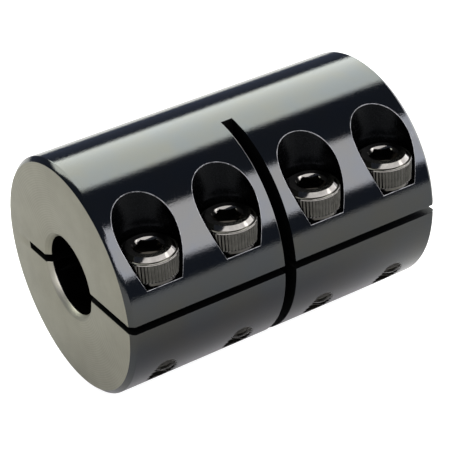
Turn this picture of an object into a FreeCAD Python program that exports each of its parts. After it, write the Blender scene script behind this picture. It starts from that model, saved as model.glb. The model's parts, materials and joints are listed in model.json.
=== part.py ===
import FreeCAD, Part
import os
import Sketcher

# One-piece clamping rigid coupling. The bore runs along X, the screws run along Z,
# the lengthwise slot opens towards -Y. The origin is the centre of the body.

SIZES = {
    "body_diameter": 24.0,
    "body_length": 35.0,
    "edge_chamfer": 0.45,
    "bore_diameter": 8.0,
    "bore_chamfer": 0.5,
    "slot_width": 0.8,
    "slot_depth_past_centre": 7.65,
    "cross_cut_width": 1.25,
    "cross_cut_distance": 2.3,
    "inner_screw_distance": 4.75,
    "outer_screw_distance": 13.33,
    "screw_offset": 9.1,
    "seat_height": 3.35,
    "pocket_diameter": 6.1,
    "clearance_diameter": 3.4,
    "tapped_diameter": 3.1,
    "thread_diameter": 3.0,
    "core_diameter": 2.38,
    "screw_length": 10.0,
    "tip_chamfer": 0.4,
    "head_diameter": 5.5,
    "head_height": 3.0,
    "head_chamfer": 0.45,
    "socket_width": 2.5,
    "socket_depth": 1.5,
    "socket_point": 0.4,
    "socket_mouth": 0.15,
    "knurl_depth": 0.11,
    "knurl_start": 0.45,
    "knurl_length": 2.0,
    "knurl_teeth": 52,
    "patch_top": 5.0,
    "patch_length": 3.0,
    "patch_gap": 0.04,
}

CUT_MARGIN = 1.0
WHOLE_TURN = 360.0

doc = FreeCAD.newDocument("rigid_coupling")


def make_sizes():
    """Write the named sizes as plain numbers into one spreadsheet."""
    sheet = doc.addObject("Spreadsheet::Sheet", "sizes")
    row = 1
    for name, value in SIZES.items():
        sheet.set("A%d" % row, name)
        sheet.set("B%d" % row, str(value))
        sheet.setAlias("B%d" % row, name)
        row += 1
    doc.recompute()
    return sheet


def size(name):
    return SIZES[name]


def origin_plane(body, role):
    for feature in body.Origin.OriginFeatures:
        if feature.Role == role:
            return feature
    raise ValueError("no plane " + role)


def add_body(name):
    body = doc.addObject("PartDesign::Body", name)
    body.Label = name
    return body


def add_sketch(body, name, role, height=None):
    """A sketch on one of the body's origin planes, lifted by the named height."""
    sketch = body.newObject("Sketcher::SketchObject", name)
    sketch.AttachmentSupport = [(origin_plane(body, role), "")]
    sketch.MapMode = "FlatFace"
    if height:
        sketch.setExpression("AttachmentOffset.Base.z", height)
    return sketch


def bind_last(sketch, expression):
    sketch.setExpression("Constraints[%d]" % (sketch.ConstraintCount - 1), expression)


def pin_coordinate(sketch, kind, geometry, point, value, expression):
    """Hold one coordinate of a sketch point at a signed distance from the origin."""
    if value == 0:
        axis = -2 if kind == "DistanceX" else -1
        sketch.addConstraint(Sketcher.Constraint("PointOnObject", geometry, point, axis))
        return
    ends = (-1, 1, geometry, point) if value > 0 else (geometry, point, -1, 1)
    sketch.addConstraint(Sketcher.Constraint(kind, *ends, abs(value)))
    bind_last(sketch, expression)


def draw_outline(sketch, points):
    """A closed outline. Each point is (x, x expression, y, y expression), sizes unsigned."""
    first = sketch.GeometryCount
    count = len(points)
    for i in range(count):
        start = FreeCAD.Vector(points[i][0], points[i][2], 0)
        after = points[(i + 1) % count]
        end = FreeCAD.Vector(after[0], after[2], 0)
        sketch.addGeometry(Part.LineSegment(start, end), False)
    for i in range(count):
        nxt = first + (i + 1) % count
        sketch.addConstraint(Sketcher.Constraint("Coincident", first + i, 2, nxt, 1))
    for i in range(count):
        x, x_expression, y, y_expression = points[i]
        pin_coordinate(sketch, "DistanceX", first + i, 1, x, x_expression)
        pin_coordinate(sketch, "DistanceY", first + i, 1, y, y_expression)


def draw_circle(sketch, x, x_expression, y, y_expression, diameter):
    """A circle whose centre and named diameter follow the spreadsheet."""
    radius = size(diameter) / 2
    circle = Part.Circle(FreeCAD.Vector(x, y, 0), FreeCAD.Vector(0, 0, 1), radius)
    index = sketch.addGeometry(circle, False)
    pin_coordinate(sketch, "DistanceX", index, 3, x, x_expression)
    pin_coordinate(sketch, "DistanceY", index, 3, y, y_expression)
    sketch.addConstraint(Sketcher.Constraint("Diameter", index, 2 * radius))
    bind_last(sketch, "sizes." + diameter)


def revolve(body, name, sketch, axis, cut=False):
    kind = "PartDesign::Groove" if cut else "PartDesign::Revolution"
    feature = body.newObject(kind, name)
    feature.Profile = sketch
    feature.ReferenceAxis = (sketch, [axis])
    feature.Angle = WHOLE_TURN
    doc.recompute()
    return feature


def pocket(body, name, sketch, side, length=None, reverse=False):
    """Cut the sketch out of the body and make sure that material really goes."""
    before = body.Shape.Volume
    feature = body.newObject("PartDesign::Pocket", name)
    feature.Profile = sketch
    feature.SideType = side
    feature.Reversed = reverse
    if length:
        feature.Type = "Length"
        feature.setExpression("Length", length)
    else:
        feature.Type = "ThroughAll"
    doc.recompute()
    if body.Shape.Volume > before - 0.01:
        raise ValueError(name + " cuts nothing")
    return feature


def body_profile(sketch):
    """Half section of the bored bar, with its outer and inner end chamfers."""
    half = size("body_length") / 2
    outer = size("body_diameter") / 2
    bore = size("bore_diameter") / 2
    edge = size("edge_chamfer")
    lip = size("bore_chamfer")
    end = "sizes.body_length / 2"
    rim = "sizes.body_diameter / 2"
    wall = "sizes.bore_diameter / 2"
    outer_inset = end + " - sizes.edge_chamfer"
    inner_inset = end + " - sizes.bore_chamfer"
    rim_low = rim + " - sizes.edge_chamfer"
    wall_high = wall + " + sizes.bore_chamfer"
    draw_outline(sketch, [
        (-(half - edge), outer_inset, outer, rim),
        (-half, end, outer - edge, rim_low),
        (-half, end, bore + lip, wall_high),
        (-(half - lip), inner_inset, bore, wall),
        (half - lip, inner_inset, bore, wall),
        (half, end, bore + lip, wall_high),
        (half, end, outer - edge, rim_low),
        (half - edge, outer_inset, outer, rim),
    ])


def slot_outline(sketch):
    """The saw cut through the front jaw and on past the bore as a relief slit."""
    front = size("body_diameter") / 2 + CUT_MARGIN
    front_expression = "sizes.body_diameter / 2 + %g" % CUT_MARGIN
    back = size("slot_depth_past_centre")
    half = size("slot_width") / 2
    back_expression = "sizes.slot_depth_past_centre"
    half_expression = "sizes.slot_width / 2"
    draw_outline(sketch, [
        (-front, front_expression, -half, half_expression),
        (back, back_expression, -half, half_expression),
        (back, back_expression, half, half_expression),
        (-front, front_expression, half, half_expression),
    ])


def cross_cut_outline(sketch):
    """The cut across the middle that lets each end clamp its own shaft."""
    half = size("cross_cut_width") / 2
    front = size("body_diameter") / 2 + CUT_MARGIN
    near = size("cross_cut_distance")
    half_expression = "sizes.cross_cut_width / 2"
    front_expression = "sizes.body_diameter / 2 + %g" % CUT_MARGIN
    near_expression = "sizes.cross_cut_distance"
    draw_outline(sketch, [
        (-half, half_expression, -front, front_expression),
        (half, half_expression, -front, front_expression),
        (half, half_expression, -near, near_expression),
        (-half, half_expression, -near, near_expression),
    ])


def screw_circles(sketch, diameter):
    """Four circles on the screw axes, two for each end of the coupling."""
    offset = size("screw_offset")
    for side in (-1, 1):
        for distance in ("inner_screw_distance", "outer_screw_distance"):
            x = side * size(distance)
            draw_circle(sketch, x, "sizes." + distance, -offset, "sizes.screw_offset", diameter)


def make_coupling_body():
    body = add_body("coupling_body")
    profile = add_sketch(body, "bar_profile", "XY_Plane")
    body_profile(profile)
    revolve(body, "bored_bar", profile, "H_Axis")
    slot = add_sketch(body, "slot_outline", "YZ_Plane")
    slot_outline(slot)
    pocket(body, "lengthwise_slot", slot, "Symmetric")
    cross = add_sketch(body, "cross_cut_outline", "XY_Plane")
    cross_cut_outline(cross)
    pocket(body, "cross_cut", cross, "Symmetric")
    heads = add_sketch(body, "pocket_circles", "XY_Plane", "sizes.seat_height")
    screw_circles(heads, "pocket_diameter")
    pocket(body, "head_pockets", heads, "One side", None, True)
    clear = add_sketch(body, "clearance_circles", "XY_Plane")
    screw_circles(clear, "clearance_diameter")
    reach = "sizes.seat_height + %g" % CUT_MARGIN
    pocket(body, "clearance_holes", clear, "One side", reach, True)
    tapped = add_sketch(body, "tapped_circles", "XY_Plane")
    screw_circles(tapped, "tapped_diameter")
    pocket(body, "tapped_holes", tapped, "One side")
    return body


def screw_profile(sketch):
    """Half section of the screw. Height 0 is the underside of the head."""
    shank = size("thread_diameter") / 2
    core = size("core_diameter") / 2
    head = size("head_diameter") / 2
    top = size("head_height")
    tip = size("screw_length")
    chamfer = size("tip_chamfer")
    bevel = size("head_chamfer")
    patch_top = size("patch_top")
    patch_end = patch_top + size("patch_length")
    shank_x = "sizes.thread_diameter / 2"
    core_x = "sizes.core_diameter / 2"
    head_x = "sizes.head_diameter / 2"
    end_y = "sizes.screw_length"
    groove_low = "sizes.patch_top + sizes.patch_length"
    draw_outline(sketch, [
        (0, "", top, "sizes.head_height"),
        (head - bevel, head_x + " - sizes.head_chamfer", top, "sizes.head_height"),
        (head, head_x, top - bevel, "sizes.head_height - sizes.head_chamfer"),
        (head, head_x, 0, ""),
        (shank, shank_x, 0, ""),
        (shank, shank_x, -patch_top, "sizes.patch_top"),
        (core, core_x, -patch_top, "sizes.patch_top"),
        (core, core_x, -patch_end, groove_low),
        (shank, shank_x, -patch_end, groove_low),
        (shank, shank_x, -(tip - chamfer), end_y + " - sizes.tip_chamfer"),
        (shank - chamfer, shank_x + " - sizes.tip_chamfer", -tip, end_y),
        (0, "", -tip, end_y),
    ])


def socket_outline(sketch):
    """A regular hexagon whose width across flats follows the spreadsheet."""
    corner = size("socket_width") / 3 ** 0.5
    corners = []
    for i in range(6):
        direction = FreeCAD.Rotation(FreeCAD.Vector(0, 0, 1), 30.0 + 60.0 * i)
        corners.append(direction.multVec(FreeCAD.Vector(corner, 0, 0)))
    for i in range(6):
        line = Part.LineSegment(corners[i], corners[(i + 1) % 6])
        sketch.addGeometry(line, False)
    around = Part.Circle(FreeCAD.Vector(0, 0, 0), FreeCAD.Vector(0, 0, 1), corner)
    circle = sketch.addGeometry(around, True)
    sketch.addConstraint(Sketcher.Constraint("Coincident", circle, 3, -1, 1))
    for i in range(6):
        sketch.addConstraint(Sketcher.Constraint("Coincident", i, 2, (i + 1) % 6, 1))
        sketch.addConstraint(Sketcher.Constraint("PointOnObject", i, 1, circle))
    for i in range(5):
        sketch.addConstraint(Sketcher.Constraint("Equal", i, i + 1))
    sketch.addConstraint(Sketcher.Constraint("Vertical", 0))
    sketch.addConstraint(Sketcher.Constraint("Diameter", circle, 2 * corner))
    bind_last(sketch, "sizes.socket_width * 2 / sqrt(3)")


def socket_point_profile(sketch):
    """Half section of the drill point under the hexagon, with a little overlap above it."""
    radius = size("socket_width") / 2 - 0.1
    floor = size("head_height") - size("socket_depth")
    radius_x = "sizes.socket_width / 2 - 0.1"
    floor_y = "sizes.head_height - sizes.socket_depth"
    draw_outline(sketch, [
        (0, "", floor + 0.2, floor_y + " + 0.2"),
        (radius, radius_x, floor + 0.2, floor_y + " + 0.2"),
        (radius, radius_x, floor, floor_y),
        (0, "", floor - size("socket_point"), floor_y + " - sizes.socket_point"),
    ])


def socket_mouth_profile(sketch):
    """Half section of the shallow cone that breaks the six corners of the socket's mouth."""
    corner = size("socket_width") / 3 ** 0.5
    flat = size("socket_width") / 2
    top = size("head_height")
    depth = size("socket_mouth")
    corner_x = "sizes.socket_width / sqrt(3)"
    flat_x = "sizes.socket_width / 2"
    low_y = "sizes.head_height - sizes.socket_mouth"
    draw_outline(sketch, [
        (0, "", top, "sizes.head_height"),
        (corner, corner_x, top, "sizes.head_height"),
        (flat, flat_x, top - depth, low_y),
        (0, "", top - depth, low_y),
    ])


def knurl_outline(sketch):
    """One V groove of the knurl, seen from above, with its point inside the head."""
    radius = size("head_diameter") / 2
    depth = size("knurl_depth")
    radius_x = "sizes.head_diameter / 2"
    draw_outline(sketch, [
        (radius - depth, radius_x + " - sizes.knurl_depth", 0, ""),
        (radius + depth, radius_x + " + sizes.knurl_depth", -2 * depth, "2 * sizes.knurl_depth"),
        (radius + depth, radius_x + " + sizes.knurl_depth", 2 * depth, "2 * sizes.knurl_depth"),
    ])


def cut_knurl(body):
    outline = add_sketch(body, "knurl_outline", "XY_Plane", "sizes.knurl_start")
    knurl_outline(outline)
    groove = pocket(body, "knurl_groove", outline, "One side", "sizes.knurl_length", True)
    before = body.Shape.Volume
    ring = body.newObject("PartDesign::PolarPattern", "knurl")
    ring.Originals = [groove]
    ring.Axis = (outline, ["N_Axis"])
    ring.Angle = WHOLE_TURN
    ring.setExpression("Occurrences", "sizes.knurl_teeth")
    body.Tip = ring
    doc.recompute()
    if body.Shape.Volume > before - 0.1:
        raise ValueError("the knurl cuts nothing")


def stand_on_axis(body, side, distance):
    """Put a part that was made on its own axis onto one of the four screw axes."""
    sign = "-" if side < 0 else ""
    body.setExpression("Placement.Base.x", sign + "sizes." + distance)
    body.setExpression("Placement.Base.y", "-sizes.screw_offset")
    body.setExpression("Placement.Base.z", "sizes.seat_height")


def make_clamp_screw(number, side, distance):
    body = add_body("clamp_screw_%d" % number)
    profile = add_sketch(body, "screw_profile", "XZ_Plane")
    screw_profile(profile)
    revolve(body, "screw_blank", profile, "V_Axis")
    hexagon = add_sketch(body, "socket_outline", "XY_Plane", "sizes.head_height")
    socket_outline(hexagon)
    pocket(body, "hex_socket", hexagon, "One side", "sizes.socket_depth")
    point = add_sketch(body, "socket_point_profile", "XZ_Plane")
    socket_point_profile(point)
    revolve(body, "socket_point", point, "V_Axis", True)
    mouth = add_sketch(body, "socket_mouth_profile", "XZ_Plane")
    socket_mouth_profile(mouth)
    revolve(body, "socket_mouth", mouth, "V_Axis", True)
    cut_knurl(body)
    stand_on_axis(body, side, distance)
    doc.recompute()
    return body


def patch_profile(sketch):
    """Half section of the nylon that fills the thread grooves over a short length."""
    gap = size("patch_gap")
    inner = size("core_diameter") / 2 + gap
    outer = size("thread_diameter") / 2
    top = size("patch_top") + gap
    low = size("patch_top") + size("patch_length") - gap
    inner_x = "sizes.core_diameter / 2 + sizes.patch_gap"
    outer_x = "sizes.thread_diameter / 2"
    top_y = "sizes.patch_top + sizes.patch_gap"
    low_y = "sizes.patch_top + sizes.patch_length - sizes.patch_gap"
    draw_outline(sketch, [
        (inner, inner_x, -top, top_y),
        (outer, outer_x, -top, top_y),
        (outer, outer_x, -low, low_y),
        (inner, inner_x, -low, low_y),
    ])


def make_locking_patch(number, side, distance):
    body = add_body("locking_patch_%d" % number)
    profile = add_sketch(body, "patch_profile", "XZ_Plane")
    patch_profile(profile)
    revolve(body, "patch_ring", profile, "V_Axis")
    stand_on_axis(body, side, distance)
    doc.recompute()
    return body


def make_all():
    parts = [make_coupling_body()]
    stations = [
        (-1, "outer_screw_distance"),
        (-1, "inner_screw_distance"),
        (1, "inner_screw_distance"),
        (1, "outer_screw_distance"),
    ]
    for number, (side, distance) in enumerate(stations, 1):
        parts.append(make_clamp_screw(number, side, distance))
        parts.append(make_locking_patch(number, side, distance))
    return parts


def check_and_write(parts):
    doc.recompute()
    for item in doc.Objects:
        if "Invalid" in item.State or "Error" in item.State:
            raise ValueError(item.Name + " is " + str(item.State))
    os.makedirs("parts", exist_ok=True)
    for part in parts:
        shape = part.Shape
        if shape.isNull() or not shape.isValid() or len(shape.Solids) != 1:
            raise ValueError(part.Label + " is not one valid solid")
        shape.exportStep("parts/%s.step" % part.Label)
        print(part.Label, round(shape.Volume, 3), shape.BoundBox)


make_sizes()
check_and_write(make_all())
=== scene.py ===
import json
import math

import bmesh
import bpy
from bpy.props import (
    FloatProperty,
    FloatVectorProperty,
    IntProperty,
    PointerProperty,
)
from mathutils import Matrix, Quaternion, Vector

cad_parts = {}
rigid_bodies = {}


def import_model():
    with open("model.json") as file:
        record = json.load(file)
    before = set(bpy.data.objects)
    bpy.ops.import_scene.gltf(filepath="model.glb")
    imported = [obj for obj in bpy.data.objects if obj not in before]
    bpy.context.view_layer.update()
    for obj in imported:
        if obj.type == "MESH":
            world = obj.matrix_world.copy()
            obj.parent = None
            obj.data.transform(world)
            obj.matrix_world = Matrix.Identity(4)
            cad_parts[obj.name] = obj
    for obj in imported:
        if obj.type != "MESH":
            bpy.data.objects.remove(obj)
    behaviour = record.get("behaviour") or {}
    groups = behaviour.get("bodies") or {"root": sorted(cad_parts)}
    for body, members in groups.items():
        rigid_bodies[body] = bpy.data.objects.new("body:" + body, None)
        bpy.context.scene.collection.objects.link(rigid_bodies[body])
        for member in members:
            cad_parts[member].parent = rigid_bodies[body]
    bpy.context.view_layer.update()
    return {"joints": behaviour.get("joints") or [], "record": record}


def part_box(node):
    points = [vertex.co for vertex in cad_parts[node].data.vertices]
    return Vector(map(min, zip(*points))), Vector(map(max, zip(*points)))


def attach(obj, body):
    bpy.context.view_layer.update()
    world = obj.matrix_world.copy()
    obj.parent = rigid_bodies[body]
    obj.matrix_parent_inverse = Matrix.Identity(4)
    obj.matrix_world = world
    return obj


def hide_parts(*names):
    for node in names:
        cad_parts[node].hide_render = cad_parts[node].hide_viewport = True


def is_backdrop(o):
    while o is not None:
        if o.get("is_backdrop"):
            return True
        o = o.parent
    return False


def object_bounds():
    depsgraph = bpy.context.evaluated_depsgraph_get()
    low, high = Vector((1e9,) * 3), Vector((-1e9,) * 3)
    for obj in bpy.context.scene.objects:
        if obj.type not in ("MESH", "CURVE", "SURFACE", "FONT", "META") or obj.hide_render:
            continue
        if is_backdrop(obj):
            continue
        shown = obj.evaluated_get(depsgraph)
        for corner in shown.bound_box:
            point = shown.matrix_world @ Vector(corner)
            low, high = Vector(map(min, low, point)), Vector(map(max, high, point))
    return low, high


bl_info = {
    "name": "Rigid Sleeve Coupling",
    "version": (1, 0, 0),
    "blender": (4, 5, 0),
    "location": "View3D > Sidebar > Coupling",
    "description": "Dresses the packed coupling: bored sleeve, clamp screws, locking patches and studio",
    "category": "Object",
}

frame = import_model()

MM = 0.001
WHOLE_TURN = 2 * math.pi
ALONG_SHAFT = Vector((1, 0, 0))
ALONG_SCREW = Vector((0, 0, 1))
CUT_MARGIN = 2 * MM
WELD = 0.001 * MM
THREAD_STEPS = 40
KNURL_STEPS = 4
CAMERA_TARGET = Vector((0.00001, -0.00049, -0.00070))


def length_property(name, description, default, smallest=0.0, largest=0.1):
    """A size in metres that shows with its unit in the sidebar."""
    return FloatProperty(
        name=name, description=description, default=default,
        min=smallest, max=largest, precision=5, unit="LENGTH", subtype="DISTANCE",
    )


def colour_property(name, description, default):
    return FloatVectorProperty(
        name=name, description=description, default=default,
        size=3, min=0.0, max=1.0, subtype="COLOR",
    )


class SleeveSizes(bpy.types.PropertyGroup):
    edge_chamfer: length_property("Edge chamfer", "Chamfer round each end of the sleeve", 0.45 * MM)
    bore_chamfer: length_property("Bore chamfer", "Chamfer at each mouth of the bore", 0.5 * MM)
    slot_width: length_property("Slot width", "Gap of the lengthwise saw cut", 0.8 * MM)
    slot_depth: length_property("Slot depth", "How far the saw cut goes past the centre", 7.65 * MM)
    cross_cut_width: length_property("Cross cut width", "Gap of the cut across the middle", 1.25 * MM)
    cross_cut_reach: length_property(
        "Cross cut reach", "Distance from the bore axis where the cross cut ends", 2.3 * MM)
    pocket_diameter: length_property("Pocket diameter", "Counterbore for each screw head", 6.1 * MM)
    clearance_diameter: length_property("Clearance diameter", "Plain hole above the slot", 3.4 * MM)
    tapped_diameter: length_property("Tapped diameter", "Outer diameter of the hole's thread", 3.1 * MM)
    rim_radius: length_property("Rim rounding", "Rounding worn onto every sharp rim", 0.055 * MM)
    round_steps: IntProperty(name="Round steps", description="Facets round the sleeve",
                             default=256, min=48, max=512)


class ScrewSizes(bpy.types.PropertyGroup):
    pitch: length_property("Pitch", "Rise of the thread in one turn", 0.5 * MM)
    crest_diameter: length_property("Crest diameter", "Outer diameter of the screw thread", 2.96 * MM)
    root_diameter: length_property("Root diameter", "Diameter at the bottom of the thread", 2.38 * MM)
    tip_chamfer: length_property("Tip chamfer", "Chamfer at the screw's end", 0.2 * MM)
    plain_band: length_property("Plain band", "Height of the plain band under the knurl", 0.58 * MM)
    knurl_top: length_property("Knurl top", "Height where the knurl ends", 2.42 * MM)
    knurl_depth: length_property("Knurl depth", "Depth of the knurl's grooves", 0.08 * MM)
    knurl_teeth: IntProperty(name="Knurl teeth", description="Teeth round the head",
                             default=52, min=12, max=120)
    rim_height: length_property("Rim height", "Height of the turned rim above the shoulder", 0.42 * MM)
    socket_width: length_property("Socket width", "Hexagon across its flats", 2.5 * MM)
    socket_depth: length_property("Socket depth", "Depth of the hexagon", 1.5 * MM)
    socket_mouth: length_property("Socket mouth", "Depth of the cone at the socket's mouth", 0.27 * MM)


class FinishColours(bpy.types.PropertyGroup):
    polished: colour_property("Polished oxide", "Outside of the sleeve", (0.060, 0.062, 0.061))
    turned: colour_property("Turned end", "End faces of the sleeve", (0.268, 0.258, 0.208))
    bored: colour_property("Bored oxide", "Screw pockets and holes", (0.008, 0.0084, 0.0088))
    sawn: colour_property("Sawn oxide", "Walls of the slot and the cross cut", (0.007, 0.007, 0.007))
    reamed: colour_property("Reamed bore", "Wall of the shaft bore", (0.05, 0.05, 0.046))
    worn: colour_property("Worn rim", "Rubbed oxide along the rims", (0.17, 0.17, 0.165))
    screw: colour_property("Screw oxide", "Heads of the clamp screws", (0.106, 0.101, 0.088))
    # Darker than the screw heads: painted shade on the threads and knurls.
    thread: colour_property("Thread oxide", "Threads and knurls, with oil in them", (0.066, 0.064, 0.057))
    nylon: colour_property("Nylon", "Locking patches", (0.09, 0.20, 0.50))
    floor: colour_property("Floor", "Studio floor", (0.36, 0.355, 0.337))


class StudioSetup(bpy.types.PropertyGroup):
    camera_azimuth: FloatProperty(name="Camera azimuth", description="Turn of the camera about Z",
                                  default=math.radians(-30.747), subtype="ANGLE", unit="ROTATION")
    camera_elevation: FloatProperty(name="Camera elevation", description="Height angle of the camera",
                                    default=math.radians(30.896), subtype="ANGLE", unit="ROTATION")
    camera_roll: FloatProperty(name="Camera roll", description="Roll of the camera about its own axis",
                               default=math.radians(-4.515), subtype="ANGLE", unit="ROTATION")
    camera_distance: length_property("Camera distance", "From the target to the lens", 0.17506, 0.05, 2)
    camera_lens: FloatProperty(name="Focal length", description="Focal length on a 36 mm sensor",
                               default=140.97, min=20, max=300)
    back_light: FloatProperty(name="Back light", description="Radiance of the strip behind",
                              default=5.4, min=0, max=50)
    front_light: FloatProperty(name="Front light", description="Radiance of the strip in front",
                               default=5.0, min=0, max=50)
    side_light: FloatProperty(name="Side light", description="Radiance of the light at the right",
                              default=6.0, min=0, max=50)
    back_colour: colour_property("Back light colour", "Colour of the strip behind", (0.965, 1.0, 0.95))
    front_colour: colour_property("Front light colour", "Colour of the strip in front", (0.93, 0.92, 1.0))
    room_colour: colour_property("Room", "Light of the room round the table", (0.10, 0.12, 0.175))
    table_glow: FloatProperty(name="Table glow", description="Light that the lit table gives off itself",
                              default=0.03, min=0, max=5)
    floor_glow: FloatProperty(name="Floor glow", description="Light that the wide floor gives off itself",
                              default=0.8, min=0, max=5)
    paper_front: length_property("Paper front", "How far the paper reaches in front", 0.125, 0, 3)
    paper_back: length_property("Paper back", "How far the paper reaches behind", 0.2, 0, 3)


# ---- shared modelling steps ----


def draw_line(bm, points, closed):
    """Vertices and edges along an outline, ready to be spun."""
    verts = [bm.verts.new(point) for point in points]
    edges = [bm.edges.new(pair) for pair in zip(verts, verts[1:])]
    if closed:
        edges.append(bm.edges.new((verts[-1], verts[0])))
    return verts + edges


def spin_solid(points, centre, axis, steps, closed=False):
    """A closed turned solid from its half section."""
    bm = bmesh.new()
    line = draw_line(bm, points, closed)
    bmesh.ops.spin(bm, geom=line, cent=centre, axis=axis, dvec=(0, 0, 0),
                   angle=WHOLE_TURN, steps=steps, use_merge=True, use_duplicate=False)
    bmesh.ops.remove_doubles(bm, verts=bm.verts, dist=WELD)
    bmesh.ops.recalc_face_normals(bm, faces=bm.faces)
    return bm


def sweep_thread(points, centre, pitch, turns, steps_per_turn, closed=False):
    """A thread: one section swept up and round the screw axis."""
    bm = bmesh.new()
    line = draw_line(bm, points, closed)
    bmesh.ops.spin(bm, geom=line, cent=centre, axis=ALONG_SCREW,
                   dvec=ALONG_SCREW * (pitch / steps_per_turn), angle=WHOLE_TURN * turns,
                   steps=steps_per_turn * turns, use_merge=False, use_duplicate=False)
    bmesh.ops.remove_doubles(bm, verts=bm.verts, dist=WELD)
    return bm


def block(low, high):
    """A plain block between two corners."""
    bm = bmesh.new()
    bmesh.ops.create_cube(bm, size=1.0)
    low, high = Vector(low), Vector(high)
    bmesh.ops.scale(bm, vec=high - low, verts=bm.verts)
    bmesh.ops.translate(bm, vec=(low + high) / 2, verts=bm.verts)
    return bm


def fill_open_ends(bm):
    open_edges = [edge for edge in bm.edges if edge.is_boundary]
    bmesh.ops.holes_fill(bm, edges=open_edges, sides=0)
    bmesh.ops.recalc_face_normals(bm, faces=bm.faces)


def crop_height(bm, low, high):
    """Keep what lies between two heights and close the cut ends."""
    for height, direction in ((high, ALONG_SCREW), (low, -ALONG_SCREW)):
        everything = list(bm.verts) + list(bm.edges) + list(bm.faces)
        bmesh.ops.bisect_plane(bm, geom=everything, dist=WELD / 10, plane_co=(0, 0, height),
                               plane_no=direction, clear_outer=True, clear_inner=False)
    fill_open_ends(bm)


def temporary_object(bm):
    mesh = bpy.data.meshes.new("workpiece")
    bm.to_mesh(mesh)
    bm.free()
    holder = bpy.data.objects.new("workpiece", mesh)
    bpy.context.scene.collection.objects.link(holder)
    return holder


def machine(blank, tools, operation="DIFFERENCE"):
    """The blank after every tool has been taken out of it, or cut down to one tool's shape."""
    work = temporary_object(blank)
    holders = [work]
    for tool in tools:
        holder = temporary_object(tool)
        holders.append(holder)
        cut = work.modifiers.new("cut", "BOOLEAN")
        cut.operation = operation
        cut.solver = "EXACT"
        cut.object = holder
    result = bmesh.new()
    result.from_object(work, bpy.context.evaluated_depsgraph_get())
    for holder in holders:
        mesh = holder.data
        bpy.data.objects.remove(holder)
        bpy.data.meshes.remove(mesh)
    if not result.faces:
        raise RuntimeError("the cut left nothing")
    return result


def join(bm, other):
    """Add another closed shell to the piece."""
    mesh = bpy.data.meshes.new("shell")
    other.to_mesh(mesh)
    other.free()
    bm.from_mesh(mesh)
    bpy.data.meshes.remove(mesh)


def place_piece(name, bm, materials, body, nodes):
    """Put the finished mesh in the scene, riding on its body in place of its plain nodes."""
    mesh = bpy.data.meshes.new(name)
    bm.to_mesh(mesh)
    bm.free()
    for material in materials:
        mesh.materials.append(material)
    piece = bpy.data.objects.new(name, mesh)
    bpy.context.scene.collection.objects.link(piece)
    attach(piece, body)
    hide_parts(*nodes)
    return piece


def shade(mesh, angle):
    mesh.shade_smooth()
    mesh.set_sharp_from_angle(angle=math.radians(angle))


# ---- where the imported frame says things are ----


def screw_stations():
    """One entry per clamp screw: its axis, its seat and its bodies and nodes."""
    bodies = frame["record"]["behaviour"]["bodies"]
    stations = []
    for joint in frame["joints"]:
        if joint["type"] != "hinge":
            continue
        screw, patch = joint["child"], joint["parent"]
        stations.append({
            "seat": Vector(joint["pos_m"]), "screw": screw, "patch": patch,
            "screw_node": bodies[screw][0], "patch_node": bodies[patch][0],
        })
    if not stations:
        raise RuntimeError("the packed frame has no clamp screws")
    return stations


def bore_radius():
    return frame["record"]["mounts"][0]["dims"]["r_mm"] * MM


# ---- finishes ----


def link(material, source, output, target, socket):
    material.node_tree.links.new(source.outputs[output], target.inputs[socket])


def add_node(material, kind, settings=None, **inputs):
    node = material.node_tree.nodes.new(kind)
    for name, value in (settings or {}).items():
        setattr(node, name, value)
    for name, value in inputs.items():
        node.inputs[name].default_value = value
    return node


def start_finish(name, metallic, roughness):
    """A new finish: its material, its shader and the node that gives the piece's coordinates."""
    material = bpy.data.materials.new(name)
    material.use_nodes = True
    shader = next(n for n in material.node_tree.nodes if n.type == "BSDF_PRINCIPLED")
    shader.inputs["Metallic"].default_value = metallic
    shader.inputs["Roughness"].default_value = roughness
    place = add_node(material, "ShaderNodeTexCoord")
    return material, shader, place


def grain(material, place, size, detail=3.0, stretch=(1, 1, 1)):
    """Noise whose grains are about the given size in metres."""
    mapping = add_node(material, "ShaderNodeMapping")
    mapping.inputs["Scale"].default_value = stretch
    noise = add_node(material, "ShaderNodeTexNoise", Scale=1 / size, Detail=detail, Roughness=0.6)
    link(material, place, "Object", mapping, "Vector")
    link(material, mapping, "Vector", noise, "Vector")
    return noise


def tool_lines(material, place, spacing, kind, direction, distortion=0.6):
    """Fine lines left by the tool, in straight bands or in rings round the bore axis."""
    settings = {"wave_type": kind, "wave_profile": "SIN"}
    settings["bands_direction" if kind == "BANDS" else "rings_direction"] = direction
    wave = add_node(material, "ShaderNodeTexWave", settings, Scale=WHOLE_TURN / (20 * spacing),
                    Distortion=distortion, Detail=2.0)
    link(material, place, "Object", wave, "Vector")
    return wave


def vary_roughness(material, shader, source, output, low, high):
    spread = add_node(material, "ShaderNodeMapRange")
    for name, value in (("From Min", 0.3), ("From Max", 0.7), ("To Min", low), ("To Max", high)):
        spread.inputs[name].default_value = value
    link(material, source, output, spread, "Value")
    link(material, spread, "Result", shader, "Roughness")


def vary_colour(material, shader, source, output, colour, other):
    ramp = add_node(material, "ShaderNodeValToRGB")
    for stop, position, shown in zip(ramp.color_ramp.elements, (0.35, 0.65), (colour, other)):
        stop.position = position
        stop.color = (*shown, 1)
    link(material, source, output, ramp, "Fac")
    link(material, ramp, "Color", shader, "Base Color")


def add_bump(material, shader, source, output, depth, strength, below=None):
    bump = add_node(material, "ShaderNodeBump", Strength=strength, Distance=depth)
    link(material, source, output, bump, "Height")
    if below:
        link(material, below, "Normal", bump, "Normal")
    link(material, bump, "Normal", shader, "Normal")
    return bump


def tinted(colour, factor):
    return tuple(min(1.0, part * factor) for part in colour)


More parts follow.
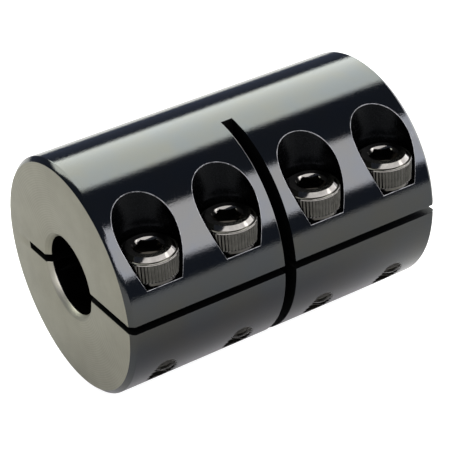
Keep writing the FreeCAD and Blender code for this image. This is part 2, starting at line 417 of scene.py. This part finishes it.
def polished_oxide(colour):
    """Black oxide over a ground surface: a soft mirror with a very fine grain."""
    material, shader, place = start_finish("polished_black_oxide", 1.0, 0.10)
    clouds = grain(material, place, 5 * MM)
    fine = grain(material, place, 0.16 * MM)
    red, green, blue = colour
    cool, warm = (0.96 * red, 0.99 * green, 1.05 * blue), (1.04 * red, 1.01 * green, 0.95 * blue)
    vary_colour(material, shader, clouds, "Fac", cool, warm)
    vary_roughness(material, shader, fine, "Fac", 0.06, 0.10)
    lines = tool_lines(material, place, 0.11 * MM, "BANDS", "X")
    ground = add_bump(material, shader, lines, "Fac", 0.0002 * MM, 0.5)
    orange_peel = grain(material, place, 0.13 * MM)
    add_bump(material, shader, orange_peel, "Fac", 0.006 * MM, 1.0, ground)
    return material


def turned_end(colour):
    """The end faces: satin, with rings left by the facing tool."""
    material, shader, place = start_finish("turned_end_face", 1.0, 0.45)
    clouds = grain(material, place, 2.5 * MM)
    rings = tool_lines(material, place, 0.24 * MM, "RINGS", "X")
    vary_colour(material, shader, clouds, "Fac", tinted(colour, 0.95), tinted(colour, 1.05))
    vary_roughness(material, shader, rings, "Fac", 0.42, 0.50)
    add_bump(material, shader, rings, "Fac", 0.0008 * MM, 0.5)
    return material


def bored_oxide(colour):
    """Screw pockets: black, a little glossy, with the boring tool's rings."""
    material, shader, place = start_finish("bored_black_oxide", 1.0, 0.25)
    lines = tool_lines(material, place, 0.16 * MM, "BANDS", "Z")
    fine = grain(material, place, 0.3 * MM)
    vary_colour(material, shader, fine, "Fac", tinted(colour, 0.9), tinted(colour, 1.1))
    vary_roughness(material, shader, fine, "Fac", 0.22, 0.30)
    add_bump(material, shader, lines, "Fac", 0.0008 * MM, 0.4)
    return material


def sawn_oxide(colour):
    """Slot and cross cut: dull, with straight marks of the saw."""
    material, shader, place = start_finish("sawn_black_oxide", 1.0, 0.5)
    marks = tool_lines(material, place, 0.2 * MM, "BANDS", "Y", 1.5)
    fine = grain(material, place, 0.2 * MM)
    vary_colour(material, shader, fine, "Fac", tinted(colour, 0.85), tinted(colour, 1.15))
    vary_roughness(material, shader, fine, "Fac", 0.42, 0.58)
    add_bump(material, shader, marks, "Fac", 0.003 * MM, 0.5)
    return material


def reamed_bore(colour):
    """The shaft bore: smooth steel, lightly blackened, with fine lines round it."""
    material, shader, place = start_finish("reamed_bore", 1.0, 0.25)
    lines = tool_lines(material, place, 0.1 * MM, "BANDS", "X")
    clouds = grain(material, place, 1.5 * MM)
    vary_colour(material, shader, clouds, "Fac", tinted(colour, 0.85), tinted(colour, 1.1))
    vary_roughness(material, shader, clouds, "Fac", 0.12, 0.2)
    add_bump(material, shader, lines, "Fac", 0.0006 * MM, 0.5)
    return material


def worn_rim(colour):
    """Rims where the oxide has been rubbed thin."""
    material, shader, place = start_finish("worn_rim", 1.0, 0.3)
    patches = grain(material, place, 0.5 * MM)
    vary_colour(material, shader, patches, "Fac", tinted(colour, 0.3), colour)
    vary_roughness(material, shader, patches, "Fac", 0.25, 0.4)
    return material


def screw_oxide(colour):
    """Heads of the clamp screws: smooth brown-black oxide from the heat treatment."""
    material, shader, place = start_finish("screw_black_oxide", 1.0, 0.17)
    clouds = grain(material, place, 0.9 * MM)
    fine = grain(material, place, 0.1 * MM)
    vary_colour(material, shader, clouds, "Fac", tinted(colour, 0.85), tinted(colour, 1.15))
    vary_roughness(material, shader, fine, "Fac", 0.09, 0.14)
    add_bump(material, shader, fine, "Fac", 0.002 * MM, 0.5)
    return material


def thread_oxide_painted_shade(colour):
    """Threads and knurls: a colour darker than the heads that paints shade, as on the screw tips down in
    the holes.
    """
    material, shader, place = start_finish("thread_black_oxide_painted_shade", 1.0, 0.2)
    clouds = grain(material, place, 0.7 * MM)
    fine = grain(material, place, 0.1 * MM)
    vary_colour(material, shader, clouds, "Fac", tinted(colour, 0.8), tinted(colour, 1.2))
    vary_roughness(material, shader, fine, "Fac", 0.15, 0.25)
    return material


def nylon(colour):
    """Locking patches: matt nylon with a slightly rough skin."""
    material, shader, place = start_finish("blue_nylon", 0.0, 0.5)
    skin = grain(material, place, 0.12 * MM)
    vary_colour(material, shader, skin, "Fac", tinted(colour, 0.85), tinted(colour, 1.1))
    vary_roughness(material, shader, skin, "Fac", 0.42, 0.6)
    add_bump(material, shader, skin, "Fac", 0.01 * MM, 0.6)
    return material


# ---- sleeve ----


def sleeve_blank(sizes, half, radius, bore):
    """The turned and bored bar with its chamfers."""
    edge, lip = sizes.edge_chamfer, sizes.bore_chamfer
    outline = [
        (-half + edge, radius), (half - edge, radius), (half, radius - edge), (half, bore + lip),
        (half - lip, bore), (-half + lip, bore), (-half, bore + lip), (-half, radius - edge),
    ]
    points = [(x, 0, height) for x, height in outline]
    return spin_solid(points, (0, 0, 0), ALONG_SHAFT, sizes.round_steps, closed=True)


def saw_tools(sizes, half, radius):
    """The lengthwise slot and the cut across the middle."""
    gap, across = sizes.slot_width / 2, sizes.cross_cut_width / 2
    far, front = half + CUT_MARGIN, -radius - CUT_MARGIN
    lengthwise = block((-far, front, -gap), (far, sizes.slot_depth, gap))
    crosswise = block((-across, front, -far), (across, -sizes.cross_cut_reach, far))
    return [lengthwise, crosswise]


def hole_tool(sizes, station, radius):
    """One stepped tool: pocket above the seat, clearance hole, then the tapped hole."""
    seat = station["seat"]
    pocket, clear = sizes.pocket_diameter / 2, sizes.clearance_diameter / 2
    tapped, out = sizes.tapped_diameter / 2, radius + CUT_MARGIN
    outline = [(0, -out), (tapped, -out), (tapped, 0), (clear, 0), (clear, seat.z),
               (pocket, seat.z), (pocket, out), (0, out)]
    points = [(seat.x + reach, seat.y, height) for reach, height in outline]
    return spin_solid(points, (seat.x, seat.y, 0), ALONG_SCREW, 96)


def round_rims(bm, width):
    """Soften every sharp rim, after tiny edges have been welded."""
    shortest_edge, sharp = 0.025 * MM, math.radians(28)
    bmesh.ops.remove_doubles(bm, verts=bm.verts, dist=shortest_edge)
    bmesh.ops.dissolve_degenerate(bm, edges=bm.edges, dist=WELD)
    rims = [e for e in bm.edges if len(e.link_faces) == 2 and e.calc_face_angle(0) > sharp]
    made = bmesh.ops.bevel(bm, geom=rims, offset=width, offset_type="OFFSET", affect="EDGES",
                           segments=2, profile=0.5, material=-1, clamp_overlap=False)
    return made["faces"]


POLISHED, TURNED, BORED, SAWN, REAMED, WORN, THREADED = range(7)


def finish_of(centre, normal, sizes, half, radius, bore):
    """Which of the sleeve's finishes a face has, from where it lies and how it faces."""
    from_axis = math.hypot(centre.y, centre.z)
    near = 0.02 * MM
    if abs(centre.x) > half - near:
        return TURNED
    if from_axis > radius - near:
        return POLISHED
    if from_axis > radius - sizes.edge_chamfer and abs(centre.x) > half - sizes.edge_chamfer:
        return POLISHED
    inward = -(normal.y * centre.y + normal.z * centre.z) / max(from_axis, near)
    if from_axis < bore + near and inward > 0.9:
        return REAMED
    if from_axis < bore + sizes.bore_chamfer and abs(normal.x) > 0.5 and abs(centre.x) > half / 2:
        return TURNED
    if abs(centre.z) < sizes.slot_width / 2 + near and abs(normal.x) < 0.9:
        return SAWN
    if abs(centre.x) < sizes.cross_cut_width / 2 + near:
        return SAWN
    return BORED


def is_rubbed(centre, sizes, half, radius):
    """True for the rims of the screw holes in the outside, which catch on things."""
    near = 0.15 * MM
    if abs(centre.z) < sizes.slot_width / 2 + near or abs(centre.x) < sizes.cross_cut_width / 2 + near:
        return False
    inside_ends = abs(centre.x) < half - sizes.edge_chamfer - near
    return inside_ends and math.hypot(centre.y, centre.z) > radius - near


def hole_threads(sizes, screw, station, radius):
    """The thread in one tapped hole, from under the slot to where it leaves the sleeve."""
    seat = station["seat"]
    pitches_down, turns, under_skin = 26, 18, radius - 0.03 * MM
    base, tip = sizes.tapped_diameter / 2 + 0.02 * MM, screw.root_diameter / 2 + 0.07 * MM
    foot = seat.z - pitches_down * screw.pitch
    middle = thread_section(screw)["root_middle"]
    points = [(seat.x + reach, seat.y, foot + middle + height) for reach, height in (
        (base, -0.21 * MM), (tip, -0.032 * MM), (tip, 0.032 * MM), (base, 0.21 * MM))]
    ridge = sweep_thread(points, (seat.x, seat.y, 0), screw.pitch, turns, THREAD_STEPS, closed=True)
    fill_open_ends(ridge)
    far = radius * 2
    inside = spin_solid([(-far, 0, 0), (-far, 0, under_skin), (far, 0, under_skin), (far, 0, 0)],
                        (0, 0, 0), ALONG_SHAFT, sizes.round_steps)
    return machine(ridge, [inside], "INTERSECT")


def set_true_normals(mesh, radius, bore):
    """Shade the outside and the bore as true cylinders and the wide flats as true planes."""
    normals = [smooth.vector.copy() for smooth in mesh.corner_normals]
    wide = 4 * MM * MM
    for face in mesh.polygons:
        if face.material_index not in (POLISHED, REAMED):
            if face.area > wide:
                for index in face.loop_indices:
                    normals[index] = face.normal.copy()
            continue
        sign = 1 if face.material_index == POLISHED else -1
        goal = radius if sign > 0 else bore
        corners = [mesh.vertices[mesh.loops[i].vertex_index].co for i in face.loop_indices]
        if any(abs(math.hypot(c.y, c.z) - goal) > 0.01 * MM for c in corners):
            continue
        for index, corner in zip(face.loop_indices, corners):
            normals[index] = Vector((0, sign * corner.y, sign * corner.z)).normalized()
    mesh.normals_split_custom_set(normals)


class COUPLING_OT_make_sleeve(bpy.types.Operator):
    """Machine the bored, slotted and cross-cut sleeve with its four screw holes"""
    bl_idname = "coupling.make_sleeve"
    bl_label = "Make Sleeve"

    def execute(self, context):
        sizes, screw = context.scene.coupling_sleeve, context.scene.coupling_screw
        colours = context.scene.coupling_finish
        low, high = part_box("coupling_body")
        half, radius, bore = high.x, high.z, bore_radius()
        stations = screw_stations()
        tools = saw_tools(sizes, half, radius)
        tools += [hole_tool(sizes, station, radius) for station in stations]
        bm = machine(sleeve_blank(sizes, half, radius, bore), tools)
        rims = set(round_rims(bm, sizes.rim_radius))
        bm.normal_update()
        for face in bm.faces:
            face.material_index = finish_of(
                face.calc_center_median(), face.normal, sizes, half, radius, bore)
            if face in rims and is_rubbed(face.calc_center_median(), sizes, half, radius):
                face.material_index = WORN
        for station in stations:
            ridges = hole_threads(sizes, screw, station, radius)
            for face in ridges.faces:
                face.material_index = THREADED
            join(bm, ridges)
        finishes = [polished_oxide(colours.polished), turned_end(colours.turned),
                    bored_oxide(colours.bored), sawn_oxide(colours.sawn),
                    reamed_bore(colours.reamed), worn_rim(colours.worn), thread_oxide_painted_shade(colours.thread)]
        piece = place_piece("sleeve", bm, finishes, "coupling", ["coupling_body"])
        shade(piece.data, 25)
        set_true_normals(piece.data, radius, bore)
        return {"FINISHED"}


# ---- clamp screws ----


def thread_section(screw):
    """One pitch of the 60 degree thread, as (reach, height) from its foot."""
    root, crest = screw.root_diameter / 2, screw.crest_diameter / 2
    flank = (crest - root) * math.tan(math.radians(30))
    flat = screw.pitch / 8
    land = screw.pitch - 2 * flank - flat
    outline = [(root, 0), (root, land), (crest, land + flank), (crest, land + flank + flat),
               (root, screw.pitch)]
    return {"outline": outline, "root_middle": land / 2}


def swept_screw_thread(screw, station, low, high):
    """A threaded rod between two heights below the seat, in step with the hole's thread."""
    seat = station["seat"]
    below = math.ceil(-low / screw.pitch) + 1
    turns = below + math.ceil(high / screw.pitch) + 1
    points = [(seat.x + reach, seat.y, seat.z - below * screw.pitch + height)
              for reach, height in thread_section(screw)["outline"]]
    bm = sweep_thread(points, (seat.x, seat.y, 0), screw.pitch, turns, THREAD_STEPS)
    crop_height(bm, seat.z + low, seat.z + high)
    return bm


def limit_reach(bm, seat, allowed):
    """Pull in whatever stands further from the screw axis than allowed at its height."""
    for vert in bm.verts:
        across = Vector((vert.co.x - seat.x, vert.co.y - seat.y, 0))
        most = allowed(vert.co.z - seat.z)
        if across.length > most:
            vert.co -= across * (1 - most / across.length)


def screw_shank(screw, station):
    """The threaded shank with its chamfered tip and the neck that the nylon fills."""
    seat = station["seat"]
    low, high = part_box(station["screw_node"])
    patch_low, patch_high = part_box(station["patch_node"])
    tip, crest = low.z - seat.z, screw.crest_diameter / 2
    neck = screw.root_diameter / 2 - 0.02 * MM
    neck_low, neck_high = patch_low.z - seat.z, patch_high.z - seat.z

    def allowed(height):
        if neck_low < height < neck_high:
            return neck
        return crest - max(0.0, screw.tip_chamfer - (height - tip))

    bm = swept_screw_thread(screw, station, tip, 0.6 * MM)
    limit_reach(bm, seat, allowed)
    return bm


def head_outline(screw, height, radius):
    """Half section of the head: plain band, knurl, shoulder, step and chamfered rim."""
    top, foot = screw.knurl_top, screw.plain_band
    step = height - screw.rim_height
    return [
        (0, 0), (radius - 0.33 * MM, 0), (radius - 0.10 * MM, 0.25 * MM),
        (radius - 0.03 * MM, foot - 0.08 * MM), (radius, foot), (radius, foot + 0.03 * MM),
        (radius, top - 0.03 * MM), (radius, top), (radius - 0.02 * MM, top + 0.04 * MM),
        (radius - 0.02 * MM, step - 0.03 * MM), (radius - 0.05 * MM, step),
        (radius - 0.27 * MM, step), (radius - 0.27 * MM, step + 0.04 * MM),
        (radius - 0.29 * MM, step + 0.07 * MM), (radius - 0.60 * MM, height), (0, height),
    ]


def cut_knurl(bm, screw, seat, radius):
    """Press the knurl's valleys into the rings between the two plain bands."""
    steps = screw.knurl_teeth * KNURL_STEPS
    depth = (screw.knurl_depth, 0.3 * screw.knurl_depth, 0.0, 0.3 * screw.knurl_depth)
    for vert in bm.verts:
        height = vert.co.z - seat.z
        across = Vector((vert.co.x - seat.x, vert.co.y - seat.y, 0))
        if across.length < radius - WELD:
            continue
        if not screw.plain_band + WELD < height < screw.knurl_top - WELD:
            continue
        turn = math.atan2(across.y, across.x) / WHOLE_TURN * steps
        vert.co -= across.normalized() * depth[round(turn) % KNURL_STEPS]


def knurl_painted_shade(bm, screw, station):
    """Give the knurl the threads' darker colour, which paints shade."""
    low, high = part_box(station["screw_node"])
    seat = station["seat"]
    inner = (high.x - low.x) / 2 - screw.knurl_depth - 0.02 * MM
    bottom, top = seat.z + screw.plain_band, seat.z + screw.knurl_top
    for face in bm.faces:
        centre = face.calc_center_median()
        if bottom < centre.z < top and math.hypot(centre.x - seat.x, centre.y - seat.y) > inner:
            face.material_index = 1


def socket_tools(screw, seat, height):
    """The hexagon, the cone at its mouth and the drill point under it."""
    top = seat.z + height
    flat, corner = screw.socket_width / 2, screw.socket_width / math.sqrt(3)
    floor = top - screw.socket_depth
    hexagon = bmesh.new()
    bmesh.ops.create_cone(hexagon, cap_ends=True, cap_tris=False, segments=6,
                          radius1=corner, radius2=corner, depth=screw.socket_depth + CUT_MARGIN)
    middle = (floor + top + CUT_MARGIN) / 2
    bmesh.ops.translate(hexagon, verts=hexagon.verts, vec=(seat.x, seat.y, middle))
    mouth = [(0, top - screw.socket_mouth), (flat, top - screw.socket_mouth),
             (corner - 0.01 * MM, top - 0.12 * MM), (corner + 0.08 * MM, top + 0.01 * MM),
             (0, top + 0.01 * MM)]
    point = [(0, floor - 0.4 * MM), (flat - 0.1 * MM, floor), (flat - 0.1 * MM, floor + 0.2 * MM),
             (0, floor + 0.2 * MM)]
    cones = [spin_solid([(seat.x + reach, seat.y, level) for reach, level in outline],
                        (seat.x, seat.y, 0), ALONG_SCREW, 64) for outline in (mouth, point)]
    return [hexagon, *cones]


def screw_head(screw, station):
    """The knurled head with its hexagon socket."""
    seat = station["seat"]
    low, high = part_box(station["screw_node"])
    height, radius = high.z - seat.z, (high.x - low.x) / 2
    points = [(seat.x + reach, seat.y, seat.z + level)
              for reach, level in head_outline(screw, height, radius)]
    bm = spin_solid(points, (seat.x, seat.y, 0), ALONG_SCREW, screw.knurl_teeth * KNURL_STEPS)
    cut_knurl(bm, screw, seat, radius)
    return machine(bm, socket_tools(screw, seat, height))


class COUPLING_OT_make_clamp_screws(bpy.types.Operator):
    """Make the four socket head clamp screws with their threads"""
    bl_idname = "coupling.make_clamp_screws"
    bl_label = "Make Clamp Screws"

    def execute(self, context):
        screw = context.scene.coupling_screw
        colours = context.scene.coupling_finish
        finishes = [screw_oxide(colours.screw), thread_oxide_painted_shade(colours.thread)]
        for number, station in enumerate(screw_stations(), 1):
            bm = screw_head(screw, station)
            # The knurl takes the threads' darker colour: painted shade.
            knurl_painted_shade(bm, screw, station)
            shank = screw_shank(screw, station)
            for face in shank.faces:
                face.material_index = 1
            join(bm, shank)
            piece = place_piece("socket_head_screw_%d" % number, bm, finishes, station["screw"],
                                [station["screw_node"]])
            shade(piece.data, 22)
        return {"FINISHED"}


class COUPLING_OT_make_locking_patches(bpy.types.Operator):
    """Make the nylon that fills a short length of each screw's thread"""
    bl_idname = "coupling.make_locking_patches"
    bl_label = "Make Locking Patches"

    def execute(self, context):
        screw = context.scene.coupling_screw
        blue = nylon(context.scene.coupling_finish.nylon)
        for number, station in enumerate(screw_stations(), 1):
            seat = station["seat"]
            low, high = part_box(station["patch_node"])
            rod = swept_screw_thread(screw, station, low.z - seat.z, high.z - seat.z)
            inner = screw.root_diameter / 2 - 0.01 * MM
            hole = spin_solid([(seat.x + reach, seat.y, level) for reach, level in (
                (0, low.z - MM), (inner, low.z - MM), (inner, high.z + MM), (0, high.z + MM))],
                (seat.x, seat.y, 0), ALONG_SCREW, THREAD_STEPS)
            bm = machine(rod, [hole])
            piece = place_piece("nylon_patch_%d" % number, bm, [blue], station["patch"],
                                [station["patch_node"]])
            shade(piece.data, 30)
        return {"FINISHED"}


# ---- studio ----


def add_soft_light(name, radiance, colour, size, location, facing):
    """A soft rectangular light. Its width stays level and it looks against the given direction."""
    data = bpy.data.lights.new(name, "AREA")
    data.shape = "RECTANGLE"
    data.size, data.size_y = size
    data.energy = radiance * math.pi * size[0] * size[1]
    data.color = colour
    light = bpy.data.objects.new(name, data)
    bpy.context.scene.collection.objects.link(light)
    facing = Vector(facing).normalized()
    side = Vector((-facing.y, facing.x, 0)).normalized()
    turn = Matrix((side, facing.cross(side), facing)).transposed().to_4x4()
    light.matrix_world = Matrix.Translation(location) @ turn
    light.visible_camera = False


def add_camera(studio):
    """The camera, with its small roll."""
    turn, rise = studio.camera_azimuth, studio.camera_elevation
    back = Vector((math.sin(turn) * math.cos(rise), -math.cos(turn) * math.cos(rise), math.sin(rise)))
    data = bpy.data.cameras.new("camera")
    data.lens, data.sensor_width = studio.camera_lens, 36
    data.clip_start, data.clip_end = 0.01, 10
    camera = bpy.data.objects.new("camera", data)
    bpy.context.scene.collection.objects.link(camera)
    camera.location = CAMERA_TARGET + back * studio.camera_distance
    camera.rotation_mode = "QUATERNION"
    roll = Quaternion((0, 0, 1), studio.camera_roll)
    camera.rotation_quaternion = (-back).to_track_quat("-Z", "Y") @ roll
    bpy.context.scene.camera = camera


def table_finish(name, colour, glow):
    """Pale matt paper, lit a little from below as on a light table."""
    material, shader, place = start_finish(name, 0.0, 0.9)
    soft = grain(material, place, 40 * MM)
    vary_colour(material, shader, soft, "Fac", tinted(colour, 0.99), colour)
    shader.inputs["Emission Color"].default_value = (1, 1, 1, 1)
    shader.inputs["Emission Strength"].default_value = glow
    return material


def add_sheet(name, material, low, high):
    """A flat stage sheet between two corners."""
    bm = bmesh.new()
    bmesh.ops.create_grid(bm, x_segments=1, y_segments=1, size=0.5)
    low, high = Vector(low), Vector(high)
    bmesh.ops.scale(bm, verts=bm.verts, vec=(high.x - low.x, high.y - low.y, 1))
    bmesh.ops.translate(bm, verts=bm.verts, vec=(low + high) / 2)
    mesh = bpy.data.meshes.new(name)
    bm.to_mesh(mesh)
    bm.free()
    mesh.materials.append(material)
    sheet = bpy.data.objects.new(name, mesh)
    bpy.context.scene.collection.objects.link(sheet)
    sheet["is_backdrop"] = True
    return sheet


class COUPLING_OT_make_stage(bpy.types.Operator):
    """Set up the floor, the room light, two strip lights, a side light and the camera"""
    bl_idname = "coupling.make_stage"
    bl_label = "Make Stage"

    def execute(self, context):
        scene, studio = context.scene, context.scene.coupling_studio
        low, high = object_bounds()
        colour, under = scene.coupling_finish.floor, low.z - 0.2 * MM
        paper = add_sheet("reflected_paper", table_finish("reflected_paper", colour, studio.table_glow),
                          (-1.2, -studio.paper_front, under), (1.2, studio.paper_back, under))
        paper.visible_camera = False
        floor = add_sheet("floor", table_finish("pale_floor", colour, studio.floor_glow),
                          (-4, -4, low.z), (4, 4, low.z))
        floor.visible_glossy = False
        floor.visible_diffuse = False
        floor.visible_shadow = False
        world = bpy.data.worlds.new("room")
        world.use_nodes = True
        background = world.node_tree.nodes["Background"]
        background.inputs["Color"].default_value = (*studio.room_colour, 1)
        background.inputs["Strength"].default_value = 1.0
        scene.world = world
        add_soft_light("back_strip", studio.back_light, studio.back_colour, (0.9, 0.373),
                       (0.15, 0.2572, 0.3064), (0, 0.643, 0.766))
        add_soft_light("front_strip", studio.front_light, studio.front_colour, (1.5, 0.356),
                       (-0.25, -0.3152, 0.2464), (0, -0.788, 0.616))
        add_soft_light("side_light", studio.side_light, studio.front_colour, (0.50, 0.30),
                       (0.39, -0.067, 0.139), (0.39, -0.067, 0.139))
        add_camera(studio)
        scene.view_settings.view_transform = "Standard"
        return {"FINISHED"}


class COUPLING_PT_sidebar(bpy.types.Panel):
    """Lists the steps that build the coupling's looks"""
    bl_idname = "COUPLING_PT_sidebar"
    bl_label = "Coupling"
    bl_space_type = "VIEW_3D"
    bl_region_type = "UI"
    bl_category = "Coupling"

    def draw(self, context):
        layout = self.layout
        for step in STEPS:
            layout.operator(step.bl_idname)
        for name, group in GROUPS.items():
            box = layout.box()
            for field in group.__annotations__:
                box.prop(getattr(context.scene, name), field)


STEPS = (
    COUPLING_OT_make_sleeve,
    COUPLING_OT_make_clamp_screws,
    COUPLING_OT_make_locking_patches,
    COUPLING_OT_make_stage,
)
GROUPS = {
    "coupling_sleeve": SleeveSizes,
    "coupling_screw": ScrewSizes,
    "coupling_finish": FinishColours,
    "coupling_studio": StudioSetup,
}


def register():
    for cls in (*GROUPS.values(), *STEPS, COUPLING_PT_sidebar):
        bpy.utils.register_class(cls)
    for name, group in GROUPS.items():
        setattr(bpy.types.Scene, name, PointerProperty(type=group))


def unregister():
    for name in GROUPS:
        delattr(bpy.types.Scene, name)
    for cls in (COUPLING_PT_sidebar, *reversed(STEPS), *reversed(list(GROUPS.values()))):
        bpy.utils.unregister_class(cls)


def main():
    register()
    bpy.ops.coupling.make_sleeve()
    bpy.ops.coupling.make_clamp_screws()
    bpy.ops.coupling.make_locking_patches()
    bpy.ops.coupling.make_stage()


if __name__ == "__main__":
    main()
